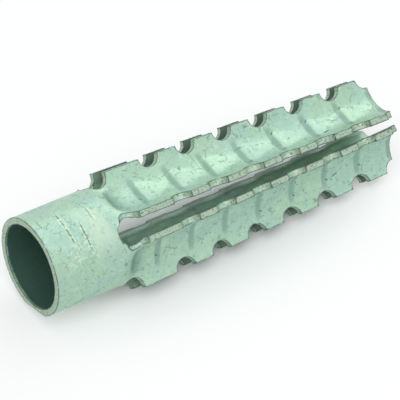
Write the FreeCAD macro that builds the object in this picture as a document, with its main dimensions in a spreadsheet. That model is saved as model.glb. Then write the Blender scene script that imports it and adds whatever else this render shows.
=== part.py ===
import FreeCAD, Part
import math
import os
import Sketcher

# A plug for aerated concrete, rolled and pressed from one strip of sheet steel.
# The plain neck takes the screw.
# Four slots run from the neck to the open tip, and the strip beside each slot is turned outwards.
# Those upright edges are notched into teeth, and pressed steps in the valleys between them grip the wall.
# The body is built along +X from the mouth, then laid down on two of its ridges.

doc = FreeCAD.newDocument("aerated_concrete_plug")

# Lengths are in millimetres, and angles in degrees.
# A station is a distance from the mouth, and a ridge is a height above the axis.
SIZES = [
    ("overall_length", 38.0, "mouth to tip, at the middle of the last notch"),
    ("sheet_thickness", 0.65, "thickness of the steel strip"),
    ("neck_diameter", 9.4, "outside of the plain neck"),
    ("neck_end", 7.15, "station where the strip starts to change shape"),
    ("neck_gap", 0.2, "slot width at the end of the neck, inside the first hole"),
    ("edge_share", 10.0, "angle of the neck that becomes an upright edge"),
    ("shoulder_station", 9.4, "station where the edges stand upright"),
    ("shoulder_ridge", 5.55, "height of the upright edges at the shoulder"),
    ("shoulder_slot", 1.75, "slot width at the shoulder"),
    ("shoulder_bend", 3.8, "outer bend radius of a valley at the shoulder"),
    ("tip_ridge", 4.55, "height of the upright edges at the tip"),
    ("tip_slot", 0.7, "slot width at the tip"),
    ("tip_bend", 2.5, "outer bend radius of a valley at the tip"),
    ("hole_diameter", 2.5, "punched hole that each slot starts from"),
    ("hole_lead", 0.05, "how far that hole reaches into the round neck"),
    ("hole_drop", 0.25, "how far below the shoulder ridge the hole's notch has its centre"),
    ("notch_diameter", 2.0, "punched notches in the upright edges"),
    ("notch_pitch", 4.0, "distance from notch to notch"),
    ("notch_side", 0.3, "how far a notch cutter stands past the strip on each side"),
    ("step_pitch", 3.8, "distance from pressed step to pressed step"),
    ("step_start", 10.8, "station of the first pressed step"),
    ("step_rise", 0.8, "length of a step's steep side, which faces the mouth"),
    ("step_height", 0.24, "height of a pressed step"),
    ("step_width", 2.8, "width of a step across its valley"),
    ("step_root", 0.1, "depth of a step's root in the strip"),
    ("step_sink", 0.03, "how far a step's foot lies under the surface, where it runs out"),
    ("seam_width", 0.12, "open butt joint of the rolled strip"),
    ("seam_angle", 8.0, "turn of the joint from the middle of its slot"),
    ("flat_angle", 28.5, "turn of the flat beside the joint from the same slot"),
    ("flat_depth", 0.26, "depth of that flat at the mouth"),
    ("flat_length", 5.0, "length over which the flat runs out"),
]

# The last notch of each row opens at the tip, and a valley lies half way between two slots.
SLOTS = 4
NOTCHES = 7
STEPS = 7
DIAGONAL = 180.0 / SLOTS

# The change from the neck to the star is drawn in this many spans.
# The cone of a bend is drawn this much longer at both ends, and cut back by a wedge this much wider.
EASING_SPANS = 3
BEND_SPARE = 2.0
BEND_MARGIN = 1.3

sheet = doc.addObject("Spreadsheet::Sheet", "Sizes")
for row, (name, value, meaning) in enumerate(SIZES, start=1):
    sheet.set("A%d" % row, meaning)
    sheet.set("B%d" % row, str(value))
    sheet.setAlias("B%d" % row, name)
doc.recompute()


class Size:
    """A length with the expression that gives it, so that a sketch is drawn and bound at once."""

    def __init__(self, value, text):
        self.value = value
        self.text = text

    def __add__(self, other):
        return Size(self.value + other.value, "(%s + %s)" % (self.text, other.text))

    def __sub__(self, other):
        return Size(self.value - other.value, "(%s - %s)" % (self.text, other.text))

    def __mul__(self, other):
        return Size(self.value * other.value, "%s * %s" % (self.text, other.text))

    def __truediv__(self, other):
        return Size(self.value / other.value, "%s / (%s)" % (self.text, other.text))


def cell(name):
    return Size(float(sheet.get(name)), "Sizes.%s" % name)


def number(value):
    return Size(float(value), repr(float(value)))


ZERO = number(0)
TWO = number(2)
ROOT_TWO = Size(math.sqrt(2), "sqrt(2)")

AXIS = FreeCAD.Vector(1, 0, 0)
MOUTH = FreeCAD.Vector(0, 0, 0)

LENGTH = cell("overall_length")
SHEET = cell("sheet_thickness")
NECK_OUTER = cell("neck_diameter") / TWO
NECK_INNER = NECK_OUTER - SHEET


class Section:
    """The star section at one station: slot width, height of the ridges and bend of the valleys."""

    def __init__(self, station, ridge, slot, bend):
        self.station = station
        self.ridge = ridge
        self.inner = slot / TWO
        self.outer = slot / TWO + SHEET
        self.bend = bend
        self.valley = self.outer * ROOT_TWO + bend * (ROOT_TWO - number(1))


SHOULDER = Section(
    cell("shoulder_station"), cell("shoulder_ridge"), cell("shoulder_slot"), cell("shoulder_bend")
)
TIP = Section(LENGTH, cell("tip_ridge"), cell("tip_slot"), cell("tip_bend"))


def between(size, station):
    """A size of the star at a station on its straight run from the shoulder to the tip."""
    start = getattr(SHOULDER, size)
    change = getattr(TIP, size) - start
    return start + change * (station - SHOULDER.station) / (TIP.station - SHOULDER.station)


body = doc.addObject("PartDesign::Body", "anchor_sleeve")
body.Label = "anchor_sleeve"


def origin_feature(role):
    for feature in body.Origin.OriginFeatures:
        if feature.Role == role:
            return feature
    raise RuntimeError("the body has no %s" % role)


def new_sketch(name, plane, turn=0.0):
    """A sketch on one of the body's planes, turned about its first axis."""
    sketch = body.newObject("Sketcher::SketchObject", name)
    sketch.AttachmentSupport = [(origin_feature(plane), "")]
    sketch.MapMode = "FlatFace"
    sketch.AttachmentOffset = FreeCAD.Placement(MOUTH, FreeCAD.Rotation(AXIS, turn))
    return sketch


def bind(sketch, kind, where, size):
    """Adds one measured constraint and ties it to its sizes."""
    index = sketch.addConstraint(Sketcher.Constraint(kind, *where, size.value))
    sketch.setExpression("Constraints[%d]" % index, size.text)


def place_point(sketch, geometry, end, across, up):
    """Fixes a point of a sketch by its two distances from the origin."""
    for kind, size in (("DistanceX", across), ("DistanceY", up)):
        if size is ZERO:
            on_axis = -2 if kind == "DistanceX" else -1
            sketch.addConstraint(Sketcher.Constraint("PointOnObject", geometry, end, on_axis))
        else:
            bind(sketch, kind, (-1, 1, geometry, end), size)


def point(across, up):
    return FreeCAD.Vector(across.value, up.value, 0)


def outline(sketch, corners):
    """Draws a closed outline of straight lines whose corners are all bound to sizes."""
    first = sketch.GeometryCount
    for index, corner in enumerate(corners):
        following = corners[(index + 1) % len(corners)]
        sketch.addGeometry(Part.LineSegment(point(*corner), point(*following)), False)
    for index, corner in enumerate(corners):
        before = (index - 1) % len(corners)
        sketch.addConstraint(Sketcher.Constraint("Coincident", first + before, 2, first + index, 1))
        place_point(sketch, first + index, 1, *corner)


def circle(sketch, across, up, diameter):
    index = sketch.addGeometry(
        Part.Circle(point(across, up), FreeCAD.Vector(0, 0, 1), diameter.value / 2), False
    )
    bind(sketch, "Diameter", (index,), diameter)
    place_point(sketch, index, 3, across, up)


def feature(kind, name, **settings):
    made = body.newObject(kind, name)
    for setting, value in settings.items():
        setattr(made, setting, value)
    return made


def around_axis(name, originals):
    """Repeats features at all four slots."""
    made = feature("PartDesign::PolarPattern", name, Originals=originals)
    made.Axis = (origin_feature("X_Axis"), [""])
    made.Angle = 360
    made.Occurrences = SLOTS
    body.Tip = made
    return made


def strip_outline(corners, bends):
    """The strip between two slots, cut across at one station, as the poles of its eight pieces.

    They run from the end at the upper slot, along the outside, to the end at the slot beside it,
    and back along the inside. The middle piece of each side is an arc, given by its middle and by
    the corner that rounding it took away."""
    pieces = []
    for index, start in enumerate(corners):
        end = corners[(index + 1) % len(corners)]
        poles = [(start, 1.0), (end, 1.0)]
        if index in bends:
            middle, apex = bends[index]
            weight = ((start + end) / 2 - middle).Length / (apex - middle).Length
            poles.insert(1, (apex, weight))
        pieces.append(poles)
    return pieces


def mixed(first, last, share):
    """An outline between two others."""
    return [
        [
            (start + (end - start) * share, light + (heavy - light) * share)
            for (start, light), (end, heavy) in zip(*poles)
        ]
        for poles in zip(first, last)
    ]


def moved_along(pieces, distance):
    """The same outline at another station."""
    shift = FreeCAD.Vector(distance, 0, 0)
    return [[(pole + shift, weight) for pole, weight in poles] for poles in pieces]


def round_outline(station):
    """A quarter of the neck's wall."""
    half_gap = sheet.get("neck_gap") / 2
    share = math.radians(sheet.get("edge_share"))
    right_angle = math.pi / 2

    def on_circle(radius, angle):
        return FreeCAD.Vector(station, radius * math.cos(angle), radius * math.sin(angle))

    def half_wall(radius):
        first = math.asin(half_gap / radius)
        angles = (right_angle - first, right_angle - share, share, first)
        return [on_circle(radius, angle) for angle in angles]

    def bend(radius):
        middle = on_circle(radius, right_angle / 2)
        return middle, on_circle(radius / math.cos(right_angle / 2 - share), right_angle / 2)

    outer = half_wall(NECK_OUTER.value)
    inner = half_wall(NECK_INNER.value)
    bends = {2: bend(NECK_OUTER.value), 6: bend(NECK_INNER.value)}
    return strip_outline([inner[0]] + outer + inner[:0:-1], bends)


def flat_face(*corners):
    return Part.Face(Part.makePolygon(list(corners) + [corners[0]]))


def on_line(start, end, station):
    return start + (end - start) * ((station - start.x) / (end.x - start.x))


def mirrored(place):
    """The same place on the other side of the valley."""
    return FreeCAD.Vector(place.x, place.z, place.y)


class Bend:
    """A cone that rounds the corner between two flat sides and touches both.

    The flats lie at a distance from the two slots that changes evenly from the shoulder to the tip."""

    def __init__(self, flat):
        self.flats = [getattr(section, flat).value for section in (SHOULDER, TIP)]
        self.stations = [section.station.value for section in (SHOULDER, TIP)]
        self.corners = [FreeCAD.Vector(x, across, across) for x, across in zip(self.stations, self.flats)]
        self.centres = []
        for section, x in zip((SHOULDER, TIP), self.stations):
            centre = section.outer.value + section.bend.value
            self.centres.append(FreeCAD.Vector(x, centre, centre))
        slope = (self.flats[0] - self.flats[1]) / (self.stations[1] - self.stations[0])
        normal = FreeCAD.Vector(slope, 1, 0).normalize()
        reaches = [(centre - corner).dot(normal) for centre, corner in zip(self.centres, self.corners)]
        self.touches = [centre - normal * reach for centre, reach in zip(self.centres, reaches)]
        self.axis = self.centres[1] - self.centres[0]
        taper = math.asin((reaches[0] - reaches[1]) / self.axis.Length)
        self.radii = [reach / math.cos(taper) for reach in reaches]
        inward = FreeCAD.Vector(0, -1, -1)
        inward -= self.axis * (inward.dot(self.axis) / self.axis.Length**2)
        inward.normalize()
        self.backs = [centre + inward * radius for centre, radius in zip(self.centres, self.radii)]

    def touch(self, station):
        """Where the cone touches the flat beside the upper slot."""
        return on_line(*self.touches, station)

    def middle_and_corner(self, station):
        return on_line(*self.backs, station), on_line(*self.corners, station)

    def face(self):
        """The part of the cone between its two flats, cut from a cone that is longer at both ends."""
        spare = BEND_SPARE / self.axis.Length
        growth = (self.radii[1] - self.radii[0]) * spare
        start = self.centres[0] - self.axis * spare
        first, last = self.radii[0] - growth, self.radii[1] + growth
        cone = Part.makeCone(first, last, self.axis.Length * (1 + 2 * spare), start, self.axis)
        ends = []
        for centre, corner, station in zip(self.centres, self.corners, self.stations):
            touch = self.touch(station)
            rim = [centre + (place - centre) * BEND_MARGIN for place in (touch, corner, mirrored(touch))]
            ends.append([centre] + rim)
        sides = [flat_face(*end) for end in ends]
        near, far = ends
        for index in range(len(near)):
            sides.append(flat_face(near[index - 1], near[index], far[index], far[index - 1]))
        sector = Part.Solid(Part.Shell(sides))
        flank = max(cone.Faces, key=lambda face: face.Area)
        return flank.common(sector).Faces


def star_outline(section):
    """Two upright edges joined by the bend of the valley."""
    station = section.station.value
    ridge = section.ridge.value

    def half(bend, flat):
        touch = bend.touch(station)
        top = FreeCAD.Vector(station, flat.value, ridge)
        return [top, touch, mirrored(touch), mirrored(top)]

    outer = half(OUTER_BEND, section.outer)
    inner = half(INNER_BEND, section.inner)
    bends = {2: OUTER_BEND.middle_and_corner(station), 6: INNER_BEND.middle_and_corner(station)}
    return strip_outline([inner[0]] + outer + inner[:0:-1], bends)


def span_faces(first, last):
    """The faces from one outline to the next: an arc's is ruled, and a straight piece's is folded once."""
    faces = []
    for rows in zip(first, last):
        if len(rows[0]) == 2:
            (start, _), (end, _) = rows[0]
            (next_start, _), (next_end, _) = rows[1]
            faces.append(flat_face(start, end, next_end))
            faces.append(flat_face(start, next_end, next_start))
            continue
        surface = Part.BezierSurface()
        surface.increase(1, 2)
        for row, poles in enumerate(rows, start=1):
            for column, (pole, weight) in enumerate(poles, start=1):
                surface.setPole(row, column, pole, weight)
        faces.append(surface.toShape())
    return faces


def end_face(pieces):
    """Closes the strip across at one station."""
    edges = []
    for poles in pieces:
        curve = Part.BezierCurve()
        curve.setPoles([pole for pole, weight in poles])
        for index, (pole, weight) in enumerate(poles, start=1):
            curve.setWeight(index, weight)
        edges.append(curve.toShape())
    return Part.Face(Part.Wire(edges))


OUTER_BEND = Bend("outer")
INNER_BEND = Bend("inner")

# Past the neck the strip is four quarters, each drawn out from the round wall into the star.
# The change is eased at both ends, so that the sheet bends without a sharp crease.
neck_end = cell("neck_end").value
at_neck = round_outline(neck_end)
at_shoulder = star_outline(SHOULDER)
at_tip = star_outline(TIP)
outlines = []
for index in range(EASING_SPANS + 1):
    share = index / EASING_SPANS
    eased = share * share * (3 - 2 * share)
    drift = (SHOULDER.station.value - neck_end) * (share - eased)
    outlines.append(moved_along(mixed(at_neck, at_shoulder, eased), drift))
faces = [face for first, last in zip(outlines, outlines[1:]) for face in span_faces(first, last)]
for first, last in zip(at_shoulder, at_tip):
    if len(first) == 2:
        faces.append(flat_face(first[0][0], first[1][0], last[1][0], last[0][0]))
faces += OUTER_BEND.face() + INNER_BEND.face() + [end_face(at_neck), end_face(at_tip)]
shell = Part.Shell(faces)
shell.sewShape()
quarter = Part.Solid(shell)
if quarter.Volume < 0:
    quarter.reverse()

neck, bore = (Part.makeCylinder(radius.value, neck_end, MOUTH, AXIS) for radius in (NECK_OUTER, NECK_INNER))
neck = neck.cut(bore)
quarters = []
for index in range(SLOTS):
    turned = quarter.copy()
    turned.rotate(MOUTH, AXIS, 360 * index / SLOTS)
    quarters.append(turned)
blank = doc.addObject("Part::Feature", "bent_strip")
blank.Shape = neck.fuse(quarters).removeSplitter()
body.BaseFeature = blank
doc.recompute()


def step_outline(sketch):
    """The saw-tooth line of the pressed steps along a valley, closed along its root."""
    crest = []
    for index in range(STEPS):
        foot = cell("step_start") + cell("step_pitch") * number(index)
        top = foot + cell("step_rise")
        crest.append((foot, between("valley", foot) - cell("step_sink")))
        crest.append((top, between("valley", top) + cell("step_height")))
    end = cell("step_start") + cell("step_pitch") * number(STEPS)
    crest.append((end, between("valley", end) - cell("step_sink")))
    start = cell("step_start")
    roots = [(station, between("valley", station) - cell("step_root")) for station in (end, start)]
    outline(sketch, crest + roots)


# Each step stands proud of the outside by its height. Its root lies inside the strip.
step_profile = new_sketch("step_profile", "XZ_Plane", turn=-DIAGONAL)
step_outline(step_profile)
steps = feature("PartDesign::Pad", "steps", Profile=step_profile, Midplane=True)
steps.setExpression("Length", cell("step_width").text)
around_axis("all_steps", [steps])

# Every slot starts from a round hole, and notches along the slot leave teeth on both of its edges.
hole_station = cell("neck_end") - cell("hole_lead") + cell("hole_diameter") / TWO
hole_profile = new_sketch("hole_profile", "XY_Plane")
circle(hole_profile, hole_station, ZERO, cell("hole_diameter"))
hole = feature("PartDesign::Pocket", "hole", Profile=hole_profile)
hole.setExpression("Length", cell("neck_diameter").text)

notch_profile = new_sketch("notch_profile", "XZ_Plane")
circle(notch_profile, hole_station, SHOULDER.ridge - cell("hole_drop"), cell("notch_diameter"))
for index in range(NOTCHES):
    station = LENGTH - cell("notch_pitch") * number(index)
    circle(notch_profile, station, between("ridge", station), cell("notch_diameter"))
notches = feature("PartDesign::Pocket", "notches", Profile=notch_profile, Midplane=True)
notches.setExpression("Length", (SHOULDER.outer * TWO + cell("notch_side") * TWO).text)
around_axis("all_holes", [hole])
around_axis("all_notches", [notches])


def facing_down(sketch, angle):
    """Turns a sketch's upright axis down to the seam's slot, and on by an angle."""
    sketch.setExpression("AttachmentOffset.Rotation.Angle", "180 + %s" % cell(angle).text)


# The strip's two ends meet in an open butt joint along the neck.
seam_profile = new_sketch("seam_profile", "XZ_Plane", turn=180 + cell("seam_angle").value)
facing_down(seam_profile, "seam_angle")
seam_floor = NECK_INNER - SHEET
seam_top = NECK_OUTER + SHEET
outline(
    seam_profile,
    [(ZERO, seam_floor), (hole_station, seam_floor), (hole_station, seam_top), (ZERO, seam_top)],
)
seam = feature("PartDesign::Pocket", "seam", Profile=seam_profile, Midplane=True)
seam.setExpression("Length", cell("seam_width").text)

# Beside the joint the end of the strip stayed flat, which shows as a corner in the round mouth.
flat_profile = new_sketch("flat_profile", "XZ_Plane", turn=180 + cell("flat_angle").value)
facing_down(flat_profile, "flat_angle")
outline(
    flat_profile,
    [
        (ZERO, NECK_OUTER - cell("flat_depth")),
        (cell("flat_length"), NECK_OUTER),
        (cell("flat_length"), NECK_OUTER + SHEET),
        (ZERO, NECK_OUTER + SHEET),
    ],
)
flat = feature("PartDesign::Pocket", "flat", Profile=flat_profile, Midplane=True)
flat.setExpression("Length", NECK_OUTER.text)
body.Tip = flat
doc.recompute()

# The plug lies on two ridges, which come closer to the axis towards the tip, so the axis dips.
drops = [(section.ridge.value + section.outer.value) / math.sqrt(2) for section in (SHOULDER, TIP)]
dip = math.degrees(math.atan((drops[0] - drops[1]) / (TIP.station.value - SHOULDER.station.value)))
roll = FreeCAD.Rotation(FreeCAD.Vector(1, 0, 0), -DIAGONAL)
tilt = FreeCAD.Rotation(FreeCAD.Vector(0, 1, 0), dip)
body.Placement = FreeCAD.Placement(FreeCAD.Vector(0, 0, 0), tilt.multiply(roll))
doc.recompute()
box = body.Shape.optimalBoundingBox()
body.Placement.Base = FreeCAD.Vector(-box.Center.x, -box.Center.y, -box.ZMin)
doc.recompute()

for made in doc.Objects:
    if "Invalid" in made.State or "Error" in made.State:
        raise RuntimeError("%s could not be made: %s" % (made.Name, made.State))
if body.Shape.isNull() or not body.Shape.isValid():
    raise RuntimeError("the shape of %s is not valid" % body.Label)
if len(body.Shape.Solids) != 1:
    raise RuntimeError("%s is %d solids, not one" % (body.Label, len(body.Shape.Solids)))

os.makedirs("parts", exist_ok=True)
body.Shape.exportStep("parts/%s.step" % body.Label)
size = body.Shape.optimalBoundingBox()
print("size %.3f x %.3f x %.3f mm" % (size.XLength, size.YLength, size.ZLength))
print("volume %.2f mm3, dip %.3f degrees" % (body.Shape.Volume, dip))
mouth = body.Placement.multVec(FreeCAD.Vector(0, 0, 0))
print("centre of the mouth %.4f %.4f %.4f" % (mouth.x, mouth.y, mouth.z))
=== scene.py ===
import math

import bmesh
import bpy
import numpy as np
from mathutils import Euler, Matrix, Vector, noise
from mathutils.bvhtree import BVHTree
from mathutils.kdtree import KDTree


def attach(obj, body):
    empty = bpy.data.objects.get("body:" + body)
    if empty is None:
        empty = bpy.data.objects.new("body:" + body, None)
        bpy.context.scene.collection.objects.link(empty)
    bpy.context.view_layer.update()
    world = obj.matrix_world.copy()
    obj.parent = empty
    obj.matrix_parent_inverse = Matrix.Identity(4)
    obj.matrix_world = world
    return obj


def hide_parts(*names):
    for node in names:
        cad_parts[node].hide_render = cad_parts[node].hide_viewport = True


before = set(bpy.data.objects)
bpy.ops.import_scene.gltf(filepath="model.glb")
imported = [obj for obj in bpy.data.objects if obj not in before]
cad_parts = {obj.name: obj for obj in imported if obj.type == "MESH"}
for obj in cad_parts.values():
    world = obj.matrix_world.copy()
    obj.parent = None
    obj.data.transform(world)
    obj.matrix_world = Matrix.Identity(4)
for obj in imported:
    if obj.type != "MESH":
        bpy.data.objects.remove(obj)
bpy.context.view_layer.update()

# The sleeve is one strip of 0.65 mm steel, punched flat, rolled round and pressed into a star.
# Its rolled faces are zinc plated and scuffed, and the punched and sheared edges are rough and lined with burrs.
# All of its sizes are in millimetres, measured in the plug: along from the mouth, across, and up.
MM = 0.001
MOUTH = Vector((-18.9587, 0.0, 5.3534)) * MM
DIP = math.radians(2.159)
ROLL = math.radians(-45)
TURN = Matrix.Rotation(DIP, 3, "Y") @ Matrix.Rotation(ROLL, 3, "X")

LENGTH = 38.0
NECK_RADIUS = 4.7
BORE_RADIUS = 4.05
NECK_END = 7.15
SHOULDER = 9.4


def to_plug(points):
    return (points - np.array(MOUTH)) @ np.array(TURN) / MM


def from_plug(points):
    return points * MM @ np.array(TURN).T + np.array(MOUTH)


def read_vectors(elements, name):
    values = np.empty(len(elements) * 3)
    elements.foreach_get(name, values)
    return values.reshape(-1, 3)


# The strip's two ends meet in a butt joint. The open slit is closed here, and drawn again as a groove.
SEAM_ANGLE = math.radians(188.0)
SEAM_OUT = np.array((0.0, -math.sin(SEAM_ANGLE), math.cos(SEAM_ANGLE)))
SEAM_SIDE = np.array((0.0, math.cos(SEAM_ANGLE), math.sin(SEAM_ANGLE)))
SEAM_HALF = 0.06
SEAM_SLACK = 0.003
SEAM_FLOOR = 3.3
SEAM_END = 8.6
SEAM_WELD = 0.005
WELD = 0.0001

solid = bmesh.new()
solid.from_mesh(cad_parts["anchor_sleeve"].data)
bmesh.ops.remove_doubles(solid, verts=solid.verts, dist=WELD * MM)
on_slit = []
for vertex in solid.verts:
    place = to_plug(np.array(vertex.co))
    lateral = place @ SEAM_SIDE
    on_wall = abs(abs(lateral) - SEAM_HALF) < SEAM_SLACK
    if on_wall and place @ SEAM_OUT > SEAM_FLOOR and place[0] < SEAM_END:
        vertex.co = Vector(from_plug(place - SEAM_SIDE * lateral))
        on_slit.append(vertex)
slit = set(on_slit)
walls = [face for face in solid.faces if slit.issuperset(face.verts)]
bmesh.ops.delete(solid, geom=walls, context="FACES")
bmesh.ops.remove_doubles(solid, verts=on_slit, dist=SEAM_WELD * MM)
bmesh.ops.dissolve_degenerate(solid, edges=solid.edges, dist=WELD * MM)
open_edges = [edge for edge in solid.edges if len(edge.link_faces) == 1]
bmesh.ops.holes_fill(solid, edges=open_edges, sides=0)
bmesh.ops.triangulate(solid, faces=[face for face in solid.faces if len(face.verts) > 3])
solid.normal_update()

# Points along every sheared edge, and the faces of the solid, to measure from.
EDGE_ANGLE = math.radians(30)
EDGE_SPACING = 0.03
EDGE_SNAP = 0.04
solid_tree = BVHTree.FromBMesh(solid)
sheared = []
for edge in solid.edges:
    if len(edge.link_faces) == 2 and edge.calc_face_angle() > EDGE_ANGLE:
        start, end = (vertex.co for vertex in edge.verts)
        spaces = max(2, math.ceil((end - start).length / (EDGE_SPACING * MM)))
        sheared += [start.lerp(end, space / spaces) for space in range(spaces + 1)]
sheared_tree = KDTree(len(sheared))
for index, spot in enumerate(sheared):
    sheared_tree.insert(spot, index)
sheared_tree.balance()

# The sleeve's own mesh is even and fine. It is laid back on the solid's faces, and pinned on its sheared edges.
FINENESS = 8
FILLING = 0.88
SMOOTHING_PASSES = 6
rough_mesh = bpy.data.meshes.new("rough_sleeve")
solid.to_mesh(rough_mesh)
solid.free()
sleeve = bpy.data.objects.new("sleeve", rough_mesh)
bpy.context.scene.collection.objects.link(sleeve)
even = sleeve.modifiers.new("even", "REMESH")
even.mode = "SHARP"
even.octree_depth = FINENESS
even.scale = FILLING
even.sharpness = 1.0
even.use_remove_disconnected = False
mesh = bpy.data.meshes.new_from_object(sleeve.evaluated_get(bpy.context.evaluated_depsgraph_get()))
sleeve.modifiers.clear()
sleeve.data = mesh
bpy.data.meshes.remove(rough_mesh)
mesh.name = "sleeve"

places = read_vectors(mesh.vertices, "co")
free = np.ones(len(places), dtype=bool)
for index, place in enumerate(places):
    nearest = solid_tree.find_nearest(Vector(place))[0]
    spot, _, gap = sheared_tree.find(nearest)
    free[index] = gap >= EDGE_SNAP * MM
    places[index] = nearest if free[index] else spot

edges = np.empty(len(mesh.edges) * 2, dtype=np.int64)
mesh.edges.foreach_get("vertices", edges)
edges = edges.reshape(-1, 2)
neighbour_count = np.maximum(np.bincount(edges.ravel(), minlength=len(places)), 1)
for _ in range(SMOOTHING_PASSES):
    total = np.zeros_like(places)
    np.add.at(total, edges[:, 0], places[edges[:, 1]])
    np.add.at(total, edges[:, 1], places[edges[:, 0]])
    smooth = total / neighbour_count[:, None]
    places[free] += 0.5 * (smooth[free] - places[free])
mesh.vertices.foreach_set("co", places.ravel())
mesh.update()

# The groove of the butt joint, cut along the neck, across the rim and along the bore.
GROOVE_HALF = 0.08
GROOVE_DEPTH = 0.13
GROOVE_SIDES = 0.4
ON_GROOVE = 0.01


def by_joint(point, reach):
    place = to_plug(np.array(point))
    return place[0] < NECK_END and place @ SEAM_OUT > SEAM_FLOOR and abs(place @ SEAM_SIDE) < reach


grooved = bmesh.new()
grooved.from_mesh(mesh)
for offset in (-GROOVE_HALF, 0.0, GROOVE_HALF):
    near = [face for face in grooved.faces if by_joint(face.calc_center_median(), GROOVE_SIDES)]
    around = {edge for face in near for edge in face.edges} | {vertex for face in near for vertex in face.verts}
    bmesh.ops.bisect_plane(
        grooved,
        geom=near + list(around),
        dist=0.001 * MM,
        plane_co=Vector(from_plug(SEAM_SIDE * offset)),
        plane_no=Vector(np.array(TURN) @ SEAM_SIDE),
    )
grooved.normal_update()
for vertex in grooved.verts:
    if by_joint(vertex.co, ON_GROOVE):
        vertex.co -= vertex.normal * GROOVE_DEPTH * MM
grooved.to_mesh(mesh)
grooved.free()

# The pressed steps' hollows on the inside of the valleys.
STEP_START = 10.8
STEP_PITCH = 3.8
STEP_RISE = 0.8
STEP_HEIGHT = 0.24
STEP_REACH = 1.4
STEP_FULLNESS = 1.6
VALLEY_AT_SHOULDER = 3.731
VALLEY_AT_TIP = 2.450
INSIDE = 0.3


def tapered(station, at_shoulder, at_tip):
    """A measure that changes evenly from the shoulder to the tip."""
    slope = (at_tip - at_shoulder) / (LENGTH - SHOULDER)
    return station * slope + (at_shoulder - slope * SHOULDER)


places = read_vectors(mesh.vertices, "co")
plug = to_plug(places)
stations = plug[:, 0].copy()
outwards = (np.abs(plug[:, 1]) + np.abs(plug[:, 2])) / math.sqrt(2)
sideways = (np.abs(plug[:, 1]) - np.abs(plug[:, 2])) / math.sqrt(2)
valley = tapered(stations, VALLEY_AT_SHOULDER, VALLEY_AT_TIP)
phase = np.mod(stations - STEP_START, STEP_PITCH)
tooth = np.where(phase < STEP_RISE, phase / STEP_RISE, (STEP_PITCH - phase) / (STEP_PITCH - STEP_RISE))
tooth *= np.clip(STEP_FULLNESS * (1 - (sideways / STEP_REACH) ** 2), 0, 1) * STEP_HEIGHT
hollow = (stations > STEP_START) & (outwards < valley - INSIDE) & (np.abs(sideways) < STEP_REACH)
for axis in (1, 2):
    plug[hollow, axis] += (tooth * np.sign(plug[:, axis]) / math.sqrt(2))[hollow]

# The strip isn't quite even, and its edges are a little ragged from the punch. Both ends stay in their planes.
UNEVEN = 0.02
UNEVEN_SCALE = 0.45
RAGGED = 0.05
RAGGED_SCALE = 3.0
END_MARGIN = 0.3
END_EASING = 5.0
normals = read_vectors(mesh.vertices, "normal") @ np.array(TURN)
gaps = np.array([sheared_tree.find(Vector(place))[2] for place in places]) / MM
ragged = gaps < EDGE_SNAP
uneven = np.array([UNEVEN * noise.noise(Vector(place) * UNEVEN_SCALE) for place in plug])
torn_off = np.array([RAGGED * abs(noise.noise(Vector(place) * RAGGED_SCALE)) for place in plug])
from_mouth = np.clip((stations - END_MARGIN) * END_EASING, 0, 1)
from_tip = np.clip((LENGTH - END_MARGIN - stations) * END_EASING, 0, 1)
shift = np.where(ragged, np.minimum(uneven - torn_off, 0), (uneven - UNEVEN) * from_mouth * from_tip)
plug += normals * shift[:, None]
mesh.vertices.foreach_set("co", from_plug(plug).ravel())
mesh.update()
mesh.shade_smooth()
mesh.set_sharp_from_angle(angle=EDGE_ANGLE)

# Where the strip is cut through, there is more steel behind the face than the sheet is thick.
WALL_LIMIT = 1.2
JUST_BEHIND = 0.05
cut = np.zeros(len(mesh.polygons))
for index, face in enumerate(mesh.polygons):
    behind = face.center - face.normal * JUST_BEHIND * MM
    struck, _, _, depth = solid_tree.ray_cast(behind, -face.normal)
    cut[index] = struck is None or depth > WALL_LIMIT * MM
mesh.attributes.new("cut", "FLOAT", "FACE").data.foreach_set("value", cut)
mesh.attributes.new("edge_gap", "FLOAT", "POINT").data.foreach_set("value", np.minimum(gaps, 1.0))


class Wire:
    """An output of one of a finish's nodes, with the sums that the finish is worked out by."""

    def __init__(self, finish, socket):
        self.finish = finish
        self.socket = socket

    def __add__(self, other):
        return self.finish.sum("ADD", self, other)

    def __sub__(self, other):
        return self.finish.sum("SUBTRACT", self, other)

    def __rsub__(self, other):
        return self.finish.sum("SUBTRACT", other, self)

    def __mul__(self, other):
        return self.finish.sum("MULTIPLY", self, other)

    def __abs__(self):
        return self.finish.sum("ABSOLUTE", self)

    __radd__ = __add__
    __rmul__ = __mul__

    def most(self, other):
        return self.finish.sum("MAXIMUM", self, other)

    def least(self, other):
        return self.finish.sum("MINIMUM", self, other)

    def remainder(self, other):
        return self.finish.sum("FLOORED_MODULO", self, other)

    def rise(self, low, high):
        """0 below the first value, 1 above the second, and smooth between them."""
        return self.finish.add("MapRange", {"interpolation_type": "SMOOTHSTEP"}, {0: self, 1: low, 2: high})

    def fall(self, low, high):
        return 1 - self.rise(low, high)


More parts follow.
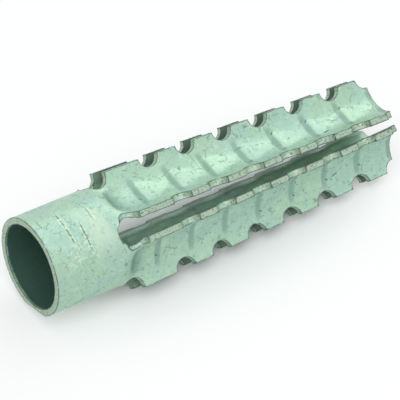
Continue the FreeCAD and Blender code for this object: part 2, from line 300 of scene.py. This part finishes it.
class Finish:
    """The nodes of a material, or of the light all round, in the making."""

    def __init__(self, owner, surface):
        owner.use_nodes = True
        self.owner = owner
        self.tree = owner.node_tree
        self.surface = self.tree.nodes[surface]

    def join(self, node, socket, value):
        if isinstance(value, Wire):
            self.tree.links.new(value.socket, node.inputs[socket])
        else:
            node.inputs[socket].default_value = value

    def add(self, kind, settings, sockets, output=0):
        """Makes a node: its settings first, then the values or wires of its sockets."""
        node = self.tree.nodes.new("ShaderNode" + kind)
        for setting, value in settings.items():
            setattr(node, setting, value)
        for socket, value in sockets.items():
            self.join(node, socket, value)
        return Wire(self, node.outputs[output])

    def sum(self, operation, first, second=0.0):
        return self.add("Math", {"operation": operation}, {0: first, 1: second})

    def vector_sum(self, operation, first, second, output=0):
        return self.add("VectorMath", {"operation": operation}, {0: first, 1: second}, output)

    def length(self, vector):
        return self.add("VectorMath", {"operation": "LENGTH"}, {0: vector}, output="Value")

    def blend(self, share, first, second):
        return self.add("Mix", {"data_type": "RGBA"}, {0: share, 6: first, 7: second}, output=2)

    def noise(self, where, scale, detail=2.0, output=0):
        return self.add("TexNoise", {}, {"Vector": where, "Scale": scale, "Detail": detail}, output)

    def cells(self, where, scale, feature="F1"):
        return self.add("TexVoronoi", {"feature": feature}, {"Vector": where, "Scale": scale}, output="Distance")

    def layer(self, name):
        return self.add("Attribute", {"attribute_name": name}, {}, output="Fac")


ZINC_GREEN = (0.40, 0.60, 0.45, 1)
ZINC_BLUE = (0.38, 0.58, 0.485, 1)
ZINC_PALE = (0.47, 0.66, 0.50, 1)
SPANGLE = (0.33, 0.50, 0.40, 1)
# Bright colour of the scuffs, sparkle and scratches, and also of the painted highlight and the painted glint.
SCUFF_AND_HIGHLIGHT = (0.62, 0.76, 0.58, 1)
CUT_STEEL = (0.40, 0.52, 0.40, 1)
CUT_DARK = (0.13, 0.20, 0.14, 1)
BURR_LINE = (0.07, 0.11, 0.08, 1)
# Colour of the painted shade on the steep sides of the pressed steps.
STEP_SHADE = (0.22, 0.36, 0.29, 1)
# Colour of the painted shade in the bore.
BORE_SHADE = (0.035, 0.105, 0.078, 1)
# Colour of the painted shade in the narrow gaps between the upright edges.
SLOT_SHADE = (0.045, 0.085, 0.06, 1)
# Colour of the painted light on the inside of the valleys.
INSIDE_LIT = (0.52, 0.70, 0.52, 1)
METALLIC = 0.45

plate = Finish(bpy.data.materials.new("zinc_plate"), "Principled BSDF")
object_place = plate.add("TexCoord", {}, {}, output="Object")
mouth_place = plate.vector_sum("SUBTRACT", object_place, MOUTH)
along, aside, upward = (
    plate.vector_sum("DOT_PRODUCT", mouth_place, TURN.col[axis] / MM, output="Value") for axis in range(3)
)
in_plug = plate.add("CombineXYZ", {}, {0: along, 1: aside, 2: upward})
radius = plate.length(plate.add("CombineXYZ", {}, {1: aside, 2: upward}))
in_metal = BORE_RADIUS + 0.15

# The plate clouds from green to blue, with a fine spangle in it.
clouds = plate.noise(in_plug, 0.28, 3.0).rise(0.38, 0.62)
patches = plate.noise(in_plug, 0.8, 4.0).rise(0.45, 0.75)
spangle = plate.noise(in_plug, 4.5, 3.0).rise(0.5, 0.72)
sparkle = plate.noise(in_plug, 3.2, 4.0).rise(0.56, 0.74)
colour = plate.blend(clouds, ZINC_GREEN, ZINC_BLUE)
colour = plate.blend(patches * 0.6, colour, ZINC_PALE)
colour = plate.blend(spangle * 0.5, colour, SPANGLE)
colour = plate.blend(sparkle * 0.5, colour, SCUFF_AND_HIGHLIGHT)

# Hairline scratches are the edges of stretched cells, broken up, and pits are small spots.
bend = plate.noise(in_plug, 0.7, 2.0, output=1)
bend = plate.add("VectorMath", {"operation": "SCALE"}, {0: bend, "Scale": 0.9})
bent_place = plate.vector_sum("ADD", in_plug, bend)
hairs = plate.cells(bent_place, 0.62, "DISTANCE_TO_EDGE").fall(0.006, 0.03)
hairs = hairs * plate.noise(in_plug, 1.3, 3.0).rise(0.52, 0.6)
fine_hairs = plate.cells(bent_place, 2.1, "DISTANCE_TO_EDGE").fall(0.015, 0.07)
fine_hairs = fine_hairs * plate.noise(in_plug, 1.9, 3.0).rise(0.53, 0.62)
pits = plate.cells(in_plug, 1.3).fall(0.05, 0.11) * plate.noise(in_plug, 1.1).rise(0.5, 0.58)
marks = (hairs * 0.6).most(fine_hairs * 0.5).most(pits * 0.8)
colour = plate.blend(marks, colour, CUT_DARK)

# Painted shade darkens the steep sides of the pressed steps.
out_level = (abs(aside) + abs(upward)) * math.sqrt(0.5)
side_level = abs(abs(aside) - abs(upward)) * math.sqrt(0.5)
over_valley = out_level - tapered(along, VALLEY_AT_SHOULDER, VALLEY_AT_TIP)
past_step = (along - STEP_START).remainder(STEP_PITCH)
painted_step_shade = past_step.rise(0.0, 0.25) * past_step.fall(0.5, 0.85) * side_level.fall(1.3, 2.0)
painted_step_shade = painted_step_shade * over_valley.rise(-0.3, -0.2) * along.rise(STEP_START - 0.2, STEP_START)
colour = plate.blend(painted_step_shade * 0.75, colour, STEP_SHADE)

# Short scuffs run side by side round the neck, where it was gripped and turned, over a patch of bright scratches.
# Each scuff: station, bend, middle round the neck, and where it starts and ends round the neck.
SCUFFS = ((2.7, 0.02, -2.9, -4.8, -0.6), (4.1, 0.02, -1.4, -2.9, 0.5), (5.5, 0.02, -2.9, -4.1, -1.7))
SCUFF_ENDS = 0.8
SCUFF_WANDER = 0.2
wander = plate.noise(in_plug, 2.4, 3.0)
speckle = plate.noise(in_plug, 3.6, 3.0)
around_neck = plate.sum("ARCTAN2", upward * -1.0, aside * -1.0) * NECK_RADIUS
on_neck = along.rise(0.05, 0.2) * along.fall(6.5, 7.2) * radius.rise(in_metal, in_metal + 0.2)
for station, curve, middle, start, end in SCUFFS:
    lean = around_neck - middle
    apart = abs(along - lean * lean * curve - station + (wander - 0.5) * SCUFF_WANDER)
    stretch = around_neck.rise(start, start + SCUFF_ENDS) * around_neck.fall(end - SCUFF_ENDS, end) * on_neck
    burnish = apart.fall(0.08, 0.34) * stretch * speckle.rise(0.42, 0.55)
    scratch = apart.fall(0.03, 0.11) * stretch * speckle.fall(0.5, 0.72)
    colour = plate.blend(burnish * 0.9, colour, SCUFF_AND_HIGHLIGHT)
    colour = plate.blend(scratch * 0.9, colour, CUT_DARK)
patch = abs(around_neck - 0.2).fall(0.5, 1.6) * abs(along - 3.2).fall(0.8, 2.4) * on_neck
colour = plate.blend(patch * speckle.rise(0.5, 0.62) * 0.8, colour, SCUFF_AND_HIGHLIGHT)
# A painted highlight brightens a patch of the neck near its end.
painted_highlight = abs(around_neck + 1.2).fall(0.5, 3.0) * abs(along - 5.6).fall(0.4, 1.8) * on_neck
colour = plate.blend(painted_highlight * 0.55, colour, SCUFF_AND_HIGHLIGHT)

# The inside of the valleys is painted lighter, standing in for light that comes in through the slots, and the
# narrow gaps between the upright edges get painted shade.
SLOT_AT_SHOULDER = 0.875
SLOT_AT_TIP = 0.35
past_neck = along.rise(8.5, 10.5)
painted_inside_light = over_valley.fall(-0.5, -0.4) * past_neck
colour = plate.blend(painted_inside_light * 0.75, colour, INSIDE_LIT)
# Painted shade darkens the narrow gaps between the upright edges, deep in the slots.
over_slot = abs(aside).least(abs(upward)) - tapered(along, SLOT_AT_SHOULDER, SLOT_AT_TIP)
painted_slot_shade = over_slot.fall(0.06, 0.16) * abs(aside).most(abs(upward)).rise(2.9, 3.6) * past_neck
colour = plate.blend(painted_slot_shade * 0.7, colour, SLOT_SHADE)

# The bore is painted dark as shade, and a painted glint lies on one side of its mouth.
painted_bore_shade = radius.fall(in_metal, in_metal + 0.3) * along.rise(0.02, 0.25) * along.fall(6.5, 10.5)
colour = plate.blend(painted_bore_shade * 0.95, colour, BORE_SHADE)
# A painted glint brightens the inside edge of the mouth on one side.
painted_glint = aside.rise(2.6, 3.4) * radius.fall(4.15, 4.3) * along.fall(0.08, 0.3) * patches.rise(0.0, 0.4)
colour = plate.blend(painted_glint * 0.8, colour, SCUFF_AND_HIGHLIGHT)

# Cut faces are torn and speckled.
cut_share = plate.layer("cut")
tear = plate.noise(in_plug, 5.5, 4.0).rise(0.5, 0.68)
torn = plate.blend(tear * 0.8, CUT_STEEL, CUT_DARK)
colour = plate.blend(cut_share, colour, torn)

# Dark burr lines run along every sheared edge, and the butt joint shows as a dark line.
burr = (plate.layer("edge_gap") - wander * 0.09).fall(-0.01, 0.045)
burr = burr * plate.noise(in_plug, 1.6, 2.0).rise(0.28, 0.46)
beside = abs(aside * float(SEAM_SIDE[1]) + upward * float(SEAM_SIDE[2]))
below = aside * float(SEAM_OUT[1]) + upward * float(SEAM_OUT[2])
joint = beside.fall(0.02, 0.09) * below.rise(2.9, 3.0) * along.fall(7.2, 7.4)
colour = plate.blend((burr * 0.85).most(joint * 0.8), colour, BURR_LINE)

rough = 0.42 + clouds * 0.08 + tear * cut_share * 0.25 + marks * 0.2 + painted_bore_shade * 0.2
height = plate.noise(in_plug, 1.4, 3.0) * 0.5 + plate.noise(in_plug, 7.0, 2.0) * 0.18
height = height - marks * 0.8 - tear * cut_share * 1.2
relief = plate.add("Bump", {}, {"Strength": 0.5, "Distance": 0.06 * MM, "Height": height}, output="Normal")
plate.join(plate.surface, "Base Color", colour)
plate.join(plate.surface, "Roughness", rough)
plate.join(plate.surface, "Normal", relief)
plate.join(plate.surface, "Metallic", METALLIC)
mesh.materials.clear()
mesh.materials.append(plate.owner)
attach(sleeve, "root")
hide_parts("anchor_sleeve")

# The table top that the plug lies on is a plain white board with a dull face.
# It glows white further from the plug, and the glow fades out under and beside the plug, which paints a darker
# area round the plug over its real shadow.
FLOOR_HALF = 1.5
FLOOR_COLOUR = (0.97, 0.97, 0.97, 1)
WHITE = (1, 1, 1, 1)
WHITENED = 0.65
SHADE_SCALE = (40.0, 80.0, 0.0)


def seen_share(finish):
    """1 on rays from the camera, also by way of shiny metal or glass."""
    camera_ray, glossy_ray, through_ray = (
        finish.add("LightPath", {}, {}, output=ray)
        for ray in ("Is Camera Ray", "Is Glossy Ray", "Is Transmission Ray")
    )
    return camera_ray.most(glossy_ray).most(through_ray)


def whiten(finish, share, white_kind, output):
    white = finish.add(white_kind, {}, {"Color": WHITE, "Strength": 1.0})
    plain = Wire(finish, finish.surface.outputs[0])
    both = finish.add("MixShader", {}, {0: share, 1: plain, 2: white})
    finish.join(finish.tree.nodes[output], "Surface", both)


board = bmesh.new()
bmesh.ops.create_grid(board, x_segments=1, y_segments=1, size=FLOOR_HALF)
floor_mesh = bpy.data.meshes.new("floor")
board.to_mesh(floor_mesh)
board.free()
floor = bpy.data.objects.new("floor", floor_mesh)
bpy.context.scene.collection.objects.link(floor)
table_top = Finish(bpy.data.materials.new("table_top"), "Principled BSDF")
table_top.join(table_top.surface, "Base Color", FLOOR_COLOUR)
table_top.join(table_top.surface, "Roughness", 0.9)
floor_place = table_top.add("TexCoord", {}, {}, output="Object")
# The glow fades near the plug, which paints the floor darker round it.
glow_far_from_plug = table_top.length(table_top.vector_sum("MULTIPLY", floor_place, SHADE_SCALE)).rise(0.3, 1.1)
whiten(table_top, seen_share(table_top) * glow_far_from_plug * WHITENED, "Emission", "Material Output")
floor_mesh.materials.append(table_top.owner)


# Two soft round lamps stand over the table, and a pale room gives the rest of the light.
# The room is plain white where it is seen itself.
ROOM_COLOUR = (0.75, 0.78, 0.8, 1)
ROOM_STRENGTH = 0.74


def soft_lamp(name, place, size, power):
    lamp = bpy.data.lights.new(name, "AREA")
    lamp.shape = "DISK"
    lamp.size = size
    lamp.energy = power
    light = bpy.data.objects.new(name, lamp)
    light.location = place
    light.rotation_euler = (-Vector(place)).to_track_quat("-Z", "Y").to_euler()
    bpy.context.scene.collection.objects.link(light)


soft_lamp("key", (-0.25, -0.35, 0.75), 0.8, 3.5)
soft_lamp("fill", (0.5, 0.3, 0.5), 0.5, 1.2)

room = Finish(bpy.data.worlds.new("studio"), "Background")
room.join(room.surface, "Color", ROOM_COLOUR)
room.join(room.surface, "Strength", ROOM_STRENGTH)
whiten(room, seen_share(room), "Background", "World Output")
bpy.context.scene.world = room.owner
bpy.context.scene.view_settings.view_transform = "Standard"

# The camera looks down on the mouth's side of the plug, from about 0.4 m, through a long lens.
CAMERA_PLACE = (-175.988, -230.467, 298.526)
CAMERA_ANGLES = (44.4517, -3.1205, -34.0998)
lens = bpy.data.cameras.new("camera")
lens.sensor_width = 36.0
lens.lens = 408.96
camera = bpy.data.objects.new("camera", lens)
camera.location = Vector(CAMERA_PLACE) * MM
camera.rotation_euler = Euler([math.radians(angle) for angle in CAMERA_ANGLES], "XYZ")
bpy.context.scene.collection.objects.link(camera)
bpy.context.scene.camera = camera
